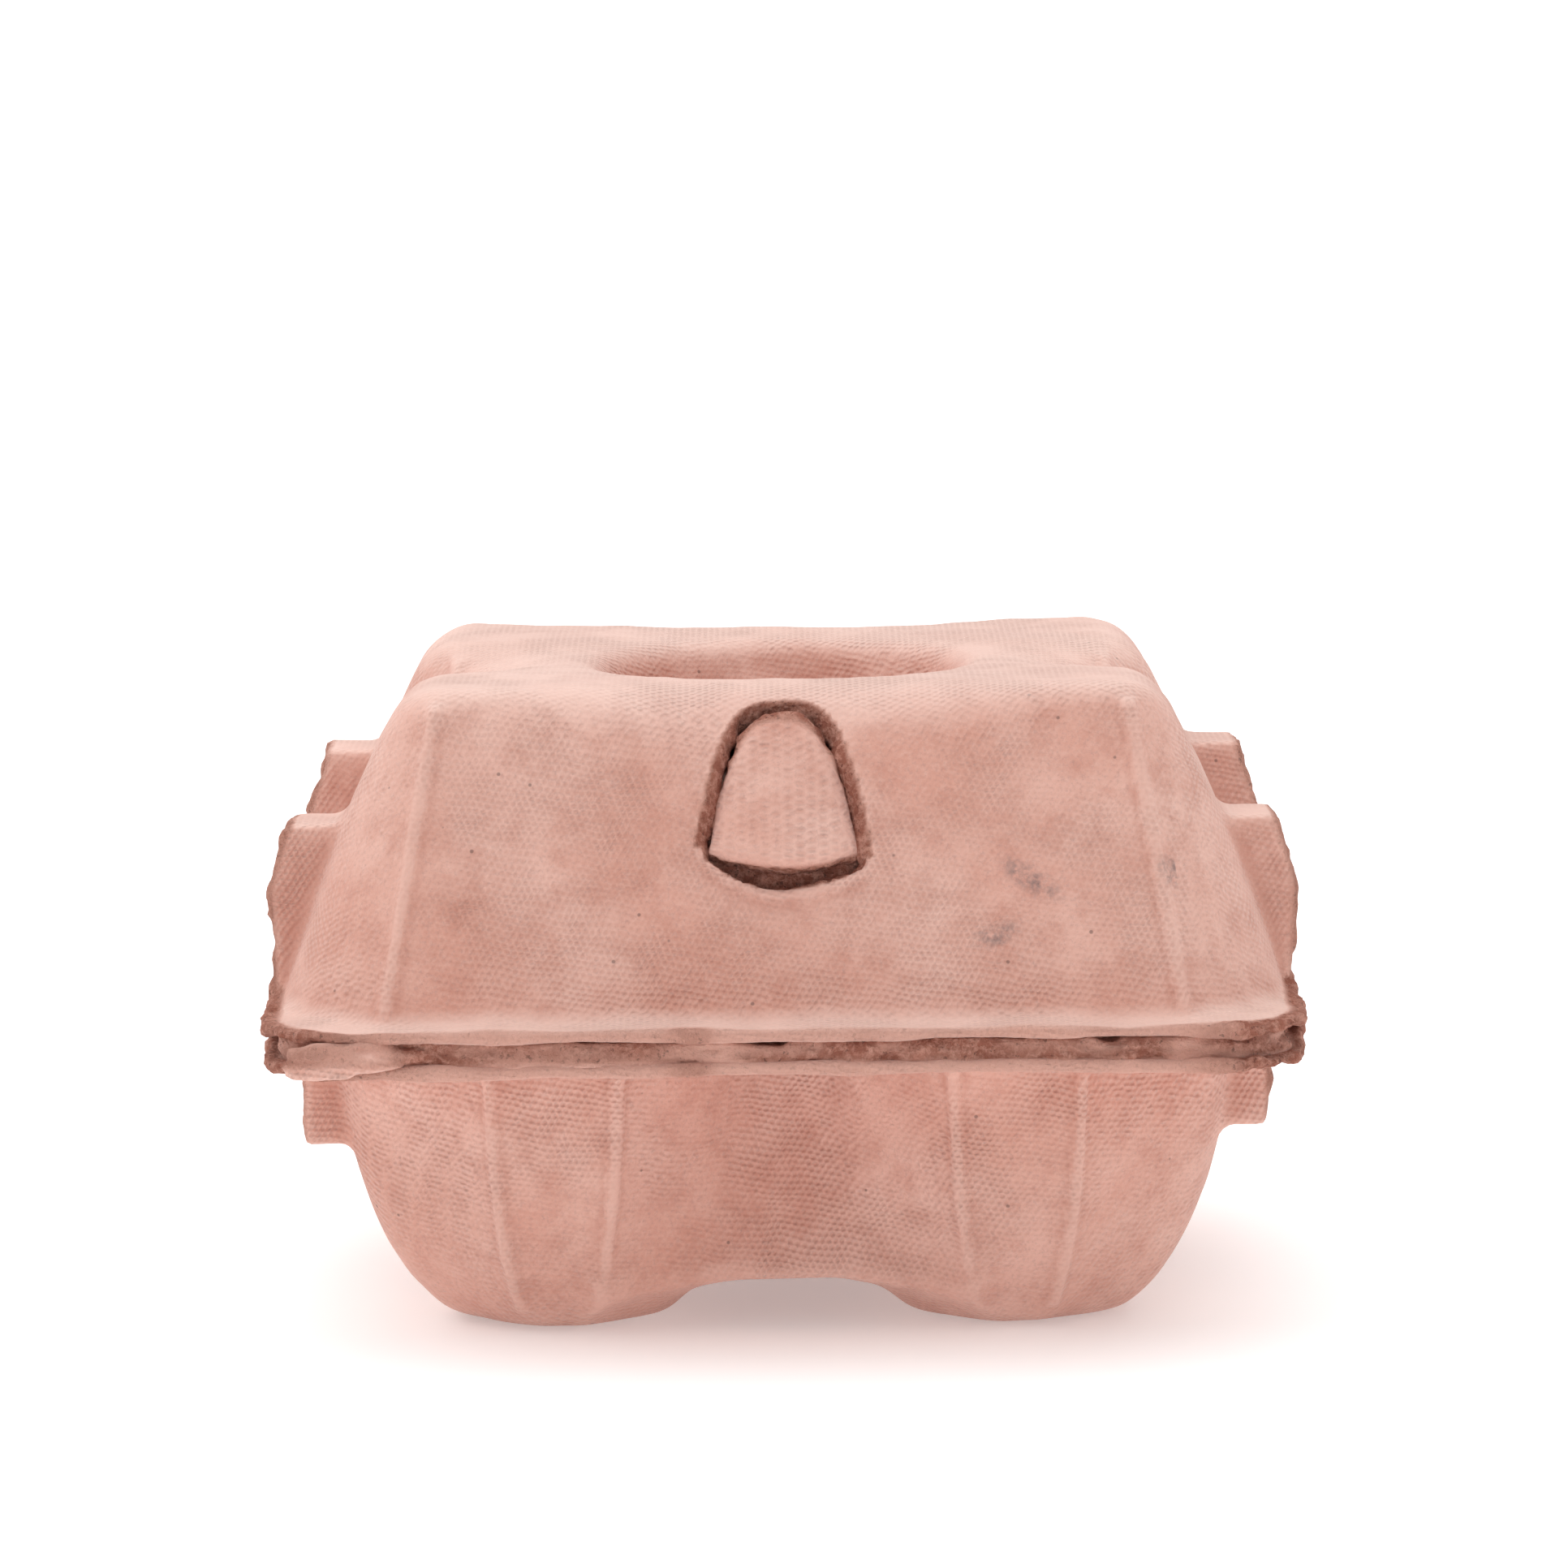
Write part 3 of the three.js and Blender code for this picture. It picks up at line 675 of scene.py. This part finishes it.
# ---- Material -------------------------------------------------------------------------------------
class Nodes:
    """A short way to write a material's node tree."""

    def __init__(self, tree):
        self.tree = tree

    def feed(self, socket, value):
        if isinstance(value, bpy.types.NodeSocket):
            self.tree.links.new(value, socket)
        else:
            socket.default_value = value

    def add(self, kind, settings=(), **inputs):
        """Adds a node. Its inputs go by name, or by number as i0, i1 and so on."""
        node = self.tree.nodes.new(kind)
        for key, value in dict(settings).items():
            setattr(node, key, value)
        for key, value in inputs.items():
            numbered = key[0] == "i" and key[1:].isdigit()
            self.feed(node.inputs[int(key[1:]) if numbered else key.replace("_", " ")], value)
        return node

    def attribute(self, name, output="Fac"):
        return self.add("ShaderNodeAttribute", {"attribute_name": name}).outputs[output]

    def math(self, operation, a, b=0.0, clamp=False):
        settings = {"operation": operation, "use_clamp": clamp}
        return self.add("ShaderNodeMath", settings, i0=a, i1=b).outputs[0]

    def mix(self, share, a, b):
        node = self.add("ShaderNodeMix", {"data_type": "RGBA"})
        for number, value in ((0, share), (6, a), (7, b)):
            self.feed(node.inputs[number], value)
        return node.outputs[2]

    def noise(self, place, scale, detail=3.0, rough=0.55):
        node = self.add("ShaderNodeTexNoise", Vector=place, Scale=scale, Detail=detail, Roughness=rough)
        return node.outputs[0]

    def ramp(self, value, low, high, start=0.0, end=1.0):
        node = self.add("ShaderNodeMapRange", {"clamp": True}, i0=value, i1=low, i2=high, i3=start, i4=end)
        return node.outputs[0]


PULP_BASE = (0.66, 0.335, 0.262, 1)
PULP_PALE = (0.79, 0.49, 0.41, 1)
PULP_DEEP = (0.53, 0.235, 0.175, 1)
PULP_GREY = (0.42, 0.25, 0.225, 1)
PULP_EDGE = (0.85, 0.43, 0.33, 1)
PULP_TORN = (0.47, 0.165, 0.11, 1)
PIT = (0.13, 0.045, 0.035, 1)
PULP_TOP_LIGHT = (0.9, 0.66, 0.58, 1)
SMUDGE = (0.16, 0.13, 0.13, 1)
SPECK = (0.07, 0.045, 0.04, 1)
SCREEN_PITCH = 0.82  # of the wire screen that the pulp dried on, in millimetres
SMUDGES = (  # middle x and height, half length, half width and slant of each grey mark
    (26.0, 50.2, 3.6, 1.3, -0.55),
    (22.3, 44.6, 2.6, 1.1, 0.35),
    (41.0, 50.6, 2.0, 1.3, -0.7),
)


def mottle_and_bend_light(n, rest, grain):
    """The pulp's pink in clouds, blotches and threads, with painted highlight on its ridges and painted shade
    in its creases.
    """
    skin_bend = n.attribute("bend")
    clouds = n.noise(rest, 0.055, 3.0)
    blotches = n.noise(rest, 0.28, 4.0, 0.6)
    threads = n.noise(rest, 2.3, 3.0, 0.8)
    colour = n.mix(n.ramp(clouds, 0.35, 0.68), PULP_BASE, PULP_PALE)
    colour = n.mix(n.ramp(blotches, 0.46, 0.72, 0.0, 0.55), colour, PULP_DEEP)
    colour = n.mix(n.ramp(grain, 0.45, 0.8, 0.0, 0.5), colour, PULP_PALE)
    colour = n.mix(n.ramp(threads, 0.5, 0.75, 0.0, 0.5), colour, PULP_GREY)
    # Painted highlight on ridges and painted shade in creases, from how the skin bends.
    colour = n.mix(n.ramp(skin_bend, 0.15, 0.8, 0.0, 0.6), colour, PULP_PALE)
    return n.mix(n.ramp(skin_bend, -0.15, -0.8, 0.0, 0.5), colour, PULP_DEEP)


def screen_imprint(n, rest, place, faces, slant, dash):
    """The imprint of the wire screen, from -1 to 1, for each way the skin faces. It fades in patches."""
    x, y, z = place
    face_x, face_y, face_z = faces

    def waves(across, along):
        turn_a = n.math("MULTIPLY", across, 2 * math.pi / SCREEN_PITCH)
        turn_b = n.math("MULTIPLY", along, 2 * math.pi / (SCREEN_PITCH * dash))
        return n.math("MULTIPLY", n.math("SINE", turn_a), n.math("SINE", turn_b))

    wander = n.noise(rest, 0.12, 2.0)
    drift = n.math("MULTIPLY", n.math("SUBTRACT", wander, 0.5), 2.5)
    rows = n.math("ADD", z, n.math("ADD", n.math("MULTIPLY", x, -slant), drift))
    cross = n.math("ADD", x, n.math("MULTIPLY", z, slant))
    on_front = n.math("MULTIPLY", waves(rows, cross), face_y)
    on_side = n.math("MULTIPLY", waves(n.math("ADD", z, drift), y), face_x)
    on_top = n.math("MULTIPLY", waves(n.math("ADD", y, drift), x), face_z)
    screen = n.math("ADD", n.math("ADD", on_front, on_side), on_top)
    patches = n.ramp(n.noise(rest, 0.09, 2.0), 0.36, 0.58, 0.25, 1.0)
    return n.math("MULTIPLY", screen, patches)


def speckle(n, rest, colour):
    """Scatters a few dark specks over the colour."""
    specks = n.add("ShaderNodeTexVoronoi", {"feature": "F1"}, Vector=rest, Scale=0.34, Randomness=1.0)
    tone = n.add("ShaderNodeSeparateColor", i0=specks.outputs["Color"]).outputs[0]
    chosen = n.math("GREATER_THAN", tone, 0.8)
    near = n.ramp(specks.outputs["Distance"], 0.05, 0.085, 1.0, 0.0)
    return n.mix(n.math("MULTIPLY", n.math("MULTIPLY", chosen, near), 0.55), colour, SPECK)


def fray(n, rest, torn, fibres, colour):
    """Turns torn edges orange, and brown with pits where they are torn most. Where the mask holds painted
    shade, on the lock's sill, button and flap, the same brown is painted shade.
    """
    frayed = n.mix(n.ramp(fibres, 0.44, 0.64), PULP_TORN, PULP_EDGE)
    colour = n.mix(n.ramp(torn, 0.0, 0.4, 0.0, 0.85), colour, PULP_EDGE)
    colour = n.mix(n.ramp(torn, 0.35, 0.85, 0.0, 0.95), colour, frayed)
    pits = n.noise(rest, 1.3, 3.0, 0.65)
    pit = n.math("MULTIPLY", n.ramp(pits, 0.6, 0.68, 0.0, 0.6), n.ramp(torn, 0.1, 0.6))
    return n.mix(pit, colour, PIT)


def relief(n, rest, torn, grain, fibres, screen, imprint):
    """The height of the skin's fine relief, in millimetres."""
    lumps = n.noise(rest, 0.55, 4.0, 0.6)
    coarse = n.math("MULTIPLY", n.math("SUBTRACT", grain, 0.5), 0.10)
    height = n.math("ADD", n.math("MULTIPLY", screen, imprint), coarse)
    height = n.math("ADD", height, n.math("MULTIPLY", n.math("SUBTRACT", lumps, 0.5), 0.22))
    ragged = n.math("MULTIPLY", n.math("SUBTRACT", fibres, 0.5), n.ramp(torn, 0.0, 0.5, 0.0, 1.5))
    return n.math("ADD", height, ragged)


def pulp_material(name, smudged_top_lit=False, slant=0.42, imprint=0.13, dash=1.7):
    """Dry moulded pulp: mottled colour, the imprint of the wire screen, and torn edges."""
    material = bpy.data.materials.new(name)
    material.use_nodes = True
    tree = material.node_tree
    tree.nodes.clear()
    n = Nodes(tree)
    rest = n.attribute("rest", "Vector")
    # torn marks torn edges, and also painted shade round the lock.
    torn = n.attribute("torn")
    place = n.add("ShaderNodeSeparateXYZ", i0=rest).outputs[:]
    faces = n.add("ShaderNodeSeparateXYZ", i0=n.attribute("facing", "Vector")).outputs[:]
    grain = n.noise(rest, 1.5, 4.0, 0.7)
    fibres = n.noise(rest, 1.1, 5.0, 0.75)

    screen = screen_imprint(n, rest, place, faces, slant, dash)
    colour = n.mix(n.ramp(screen, -1.0, 0.1, 0.4, 0.0), mottle_and_bend_light(n, rest, grain), PULP_DEEP)
    colour = speckle(n, rest, colour)
    if smudged_top_lit:
        # Painted highlight: level skin, facing up or down, is mixed towards a paler pink.
        colour = n.mix(n.ramp(faces[2], 0.3, 0.95, 0.0, 0.6), colour, PULP_TOP_LIGHT)
        colour = n.mix(smudges(n, *place, rest), colour, SMUDGE)
    colour = fray(n, rest, torn, fibres, colour)
    height = relief(n, rest, torn, grain, fibres, screen, imprint)
    bump = n.add("ShaderNodeBump", Strength=1.0, Distance=MM, Height=height)

    shader = n.add("ShaderNodeBsdfPrincipled", Base_Color=colour, Normal=bump.outputs[0])
    shader.inputs["Roughness"].default_value = 0.93
    shader.inputs["Specular IOR Level"].default_value = 0.18
    tree.links.new(n.ramp(torn, 0.0, 0.7, 0.32, 0.0), shader.inputs["Sheen Weight"])
    shader.inputs["Sheen Roughness"].default_value = 0.5
    shader.inputs["Sheen Tint"].default_value = (1, 0.88, 0.84, 1)
    output = n.add("ShaderNodeOutputMaterial")
    tree.links.new(shader.outputs[0], output.inputs["Surface"])
    return material


def smudges(n, x, y, z, rest):
    """How dark the grey rubbed marks on the right of the lid's front wall are."""
    ragged = n.noise(rest, 0.9, 4.0, 0.7)
    total = 0.0
    for middle_x, middle_z, half_long, half_wide, slant in SMUDGES:
        across = n.math("SUBTRACT", x, middle_x)
        rise = n.math("SUBTRACT", z, middle_z)
        c = math.cos(slant)
        s = math.sin(slant)
        along = n.math("MULTIPLY", across, c / half_long)
        along = n.math("ADD", along, n.math("MULTIPLY", rise, s / half_long))
        wide = n.math("MULTIPLY", across, -s / half_wide)
        wide = n.math("ADD", wide, n.math("MULTIPLY", rise, c / half_wide))
        far = n.math("ADD", n.math("MULTIPLY", along, along), n.math("MULTIPLY", wide, wide))
        spot = n.math("MULTIPLY", n.ramp(far, 0.0, 1.6, 1.0, 0.0), n.ramp(ragged, 0.38, 0.68))
        total = n.math("ADD", spot, total)
    out = n.math("MULTIPLY", n.math("SUBTRACT", -LID_FOOT_Y, y), math.cos(LEAN_ANGLE))
    rise = n.math("SUBTRACT", z, LID_RIM_TOP)
    out = n.math("ADD", out, n.math("MULTIPLY", rise, math.sin(LEAN_ANGLE)))
    front = n.math("GREATER_THAN", out, -PULP / 2)
    return n.math("MULTIPLY", n.math("MULTIPLY", total, front), 0.8, clamp=True)


def finish_piece(piece, material, slot, *replaced):
    piece.data.materials.append(material)
    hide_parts(*replaced)


# ---- The carton -----------------------------------------------------------------------------------
def build_lid(material):
    lid = pulp_piece("lid_shell", lid_field, lid_low - 1, lid_high, VOXEL, lid_torn_and_sill_shade, "lid")
    finish_piece(lid, material, "lid", "lid")


def build_tray(material):
    low = np.array((lid_low[0], lid_low[1] - 1, tray_low[2]))
    high = np.array((lid_high[0], lid_high[1] + 1, tray_high[2]))
    tray = pulp_piece("tray_shell", tray_field, low, high, VOXEL, tray_torn, "tray")
    finish_piece(tray, material, "base_tray", "base_tray")


def build_lock(material, button_material):
    """The button rides the flap. The flap's plate, with the strip at its foot, is baked in place and rides no
    body.
    """
    low, high = box_mm("lock_button")
    button = pulp_piece("lock_button_dome", button_field, low - 2, high + 2, FINE, button_cut_and_shade, "flap", 0.6)
    finish_piece(button, button_material, "lock_button", "lock_button")
    low = flap_low - (1, 5, 2)
    flap = pulp_piece("lock_flap_plate", flap_field, low, flap_high + 1, VOXEL, flap_shade_and_fray)
    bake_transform(flap)
    finish_piece(flap, material, "lock_flap", "lock_flap", "flap_crease")


def build_folds(material):
    """The strip in the seam at the front rides the tray. The living hinge is baked in place between tray and
    lid and rides no body.
    """
    low = fold_low - (14, 1, 0)
    high = fold_high + (14, 2, 1)
    fold = pulp_piece("front_fold_roll", front_fold_field, low, high, FINE, fold_torn, "tray")
    finish_piece(fold, material, "front_fold", "front_fold")
    low = web_low - (2, 2, 0)
    high = web_high + (2, 0, 0)
    web = pulp_piece("lid_hinge_fold", hinge_web_field, low, high, FINE, no_torn, None, 0.5)
    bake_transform(web)
    finish_piece(web, material, "lid_hinge_web", "lid_hinge_web")


def build_carton():
    plain = pulp_material("pulp")
    smudged_top_lit_pulp = pulp_material("pulp_smudged_top_lit", smudged_top_lit=True)
    level = pulp_material("pulp_level", slant=0.0, imprint=0.16, dash=3.0)
    build_lid(smudged_top_lit_pulp)
    build_tray(plain)
    build_lock(plain, level)
    build_folds(plain)


# ---- Studio ---------------------------------------------------------------------------------------
FRAME_PIXELS = 1932
FOCAL_PIXELS = 7763.0
SENSOR = 36.0
CAMERA = Vector((0.2, -700.0, 142.0))  # millimetres
CAMERA_PITCH = math.atan(FRAME_PIXELS / 2 / FOCAL_PIXELS)  # puts the level direction on the frame's top edge
CAMERA_ROLL = math.radians(0.6)
FLOOR_HALF = 60.0  # metres
FLOOR_EDGE = 6.0  # metres that the floor turns up at its far edge, so that no horizon shows
WORLD_STRENGTH = 0.5
SUN_STRENGTH = 2.45
SUN_ANGLE = math.radians(100)
SUN_TILT = (math.radians(-14), math.radians(-10), 0)


def floor_material():
    material = bpy.data.materials.new("pale_floor")
    material.use_nodes = True
    shader = material.node_tree.nodes["Principled BSDF"]
    shader.inputs["Base Color"].default_value = (0.93, 0.93, 0.93, 1)
    shader.inputs["Emission Color"].default_value = (1, 1, 1, 1)
    shader.inputs["Emission Strength"].default_value = 0.27
    shader.inputs["Roughness"].default_value = 0.9
    shader.inputs["Specular IOR Level"].default_value = 0.1
    return material


def build_floor():
    corners = []
    for half, height in ((FLOOR_HALF, 0.0), (FLOOR_HALF + FLOOR_EDGE, FLOOR_EDGE)):
        corners += [(-half, -half, height), (half, -half, height)]
        corners += [(half, half, height), (-half, half, height)]
    sides = [((i + 1) % 4, i, i + 4, (i + 1) % 4 + 4) for i in range(4)]
    mesh = bpy.data.meshes.new("floor")
    mesh.from_pydata(corners, [], [(0, 1, 2, 3)] + sides)
    mesh.materials.append(floor_material())
    floor = bpy.data.objects.new("floor", mesh)
    bpy.context.scene.collection.objects.link(floor)


def build_light():
    world = bpy.data.worlds.new("studio")
    world.use_nodes = True
    background = world.node_tree.nodes["Background"]
    background.inputs["Color"].default_value = (1.0, 1.0, 1.0, 1)
    background.inputs["Strength"].default_value = WORLD_STRENGTH
    bpy.context.scene.world = world
    sun = bpy.data.lights.new("softbox", "SUN")
    sun.energy = SUN_STRENGTH
    sun.angle = SUN_ANGLE
    above = bpy.data.objects.new("softbox", sun)
    above.rotation_euler = SUN_TILT
    bpy.context.scene.collection.objects.link(above)


def build_camera():
    data = bpy.data.cameras.new("camera")
    data.sensor_width = SENSOR
    data.lens = FOCAL_PIXELS / FRAME_PIXELS * SENSOR
    camera = bpy.data.objects.new("camera", data)
    camera.location = CAMERA * MM
    look = Matrix.Rotation(math.pi / 2 - CAMERA_PITCH, 3, "X") @ Matrix.Rotation(-CAMERA_ROLL, 3, "Z")
    camera.rotation_euler = look.to_euler()
    bpy.context.scene.collection.objects.link(camera)
    bpy.context.scene.camera = camera
    bpy.context.scene.view_settings.view_transform = "Standard"


build_floor()
build_light()
build_camera()
build_carton()
